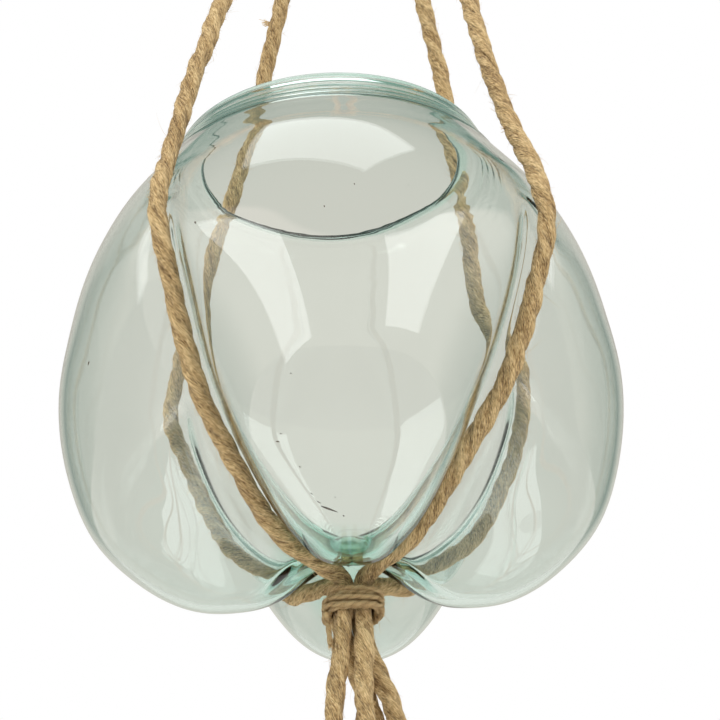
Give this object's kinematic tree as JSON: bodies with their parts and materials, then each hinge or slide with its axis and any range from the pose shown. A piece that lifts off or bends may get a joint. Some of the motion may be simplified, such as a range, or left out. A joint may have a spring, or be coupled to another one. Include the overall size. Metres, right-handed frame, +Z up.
{
  "type": "hanging glass terrarium",
  "caption": "Four-lobed blown glass vessel with an open ridged mouth, slung in jute ropes that lie in its folds and gather above and below.",
  "frame": {"origin": "inside top of the rope eye, where it bears on its hook", "axes": "+Z up, -Y towards the front lobe, +X to the right seen from the front"},
  "size_m": [0.2238, 0.2235, 0.6161],
  "materials": {
    "clear_glass": "clear blown glass with a faint green tint, fire-polished",
    "jute_rope": "soft laid jute, matt and hairy",
    "jute_cord": "thin laid jute cord, matt and hairy"
  },
  "bodies": {
    "root": {"glass_vessel": "clear_glass", "front_rope": "jute_rope", "rear_rope": "jute_rope", "top_whipping": "jute_cord", "bottom_whipping": "jute_cord"}
  },
  "joints": []
}
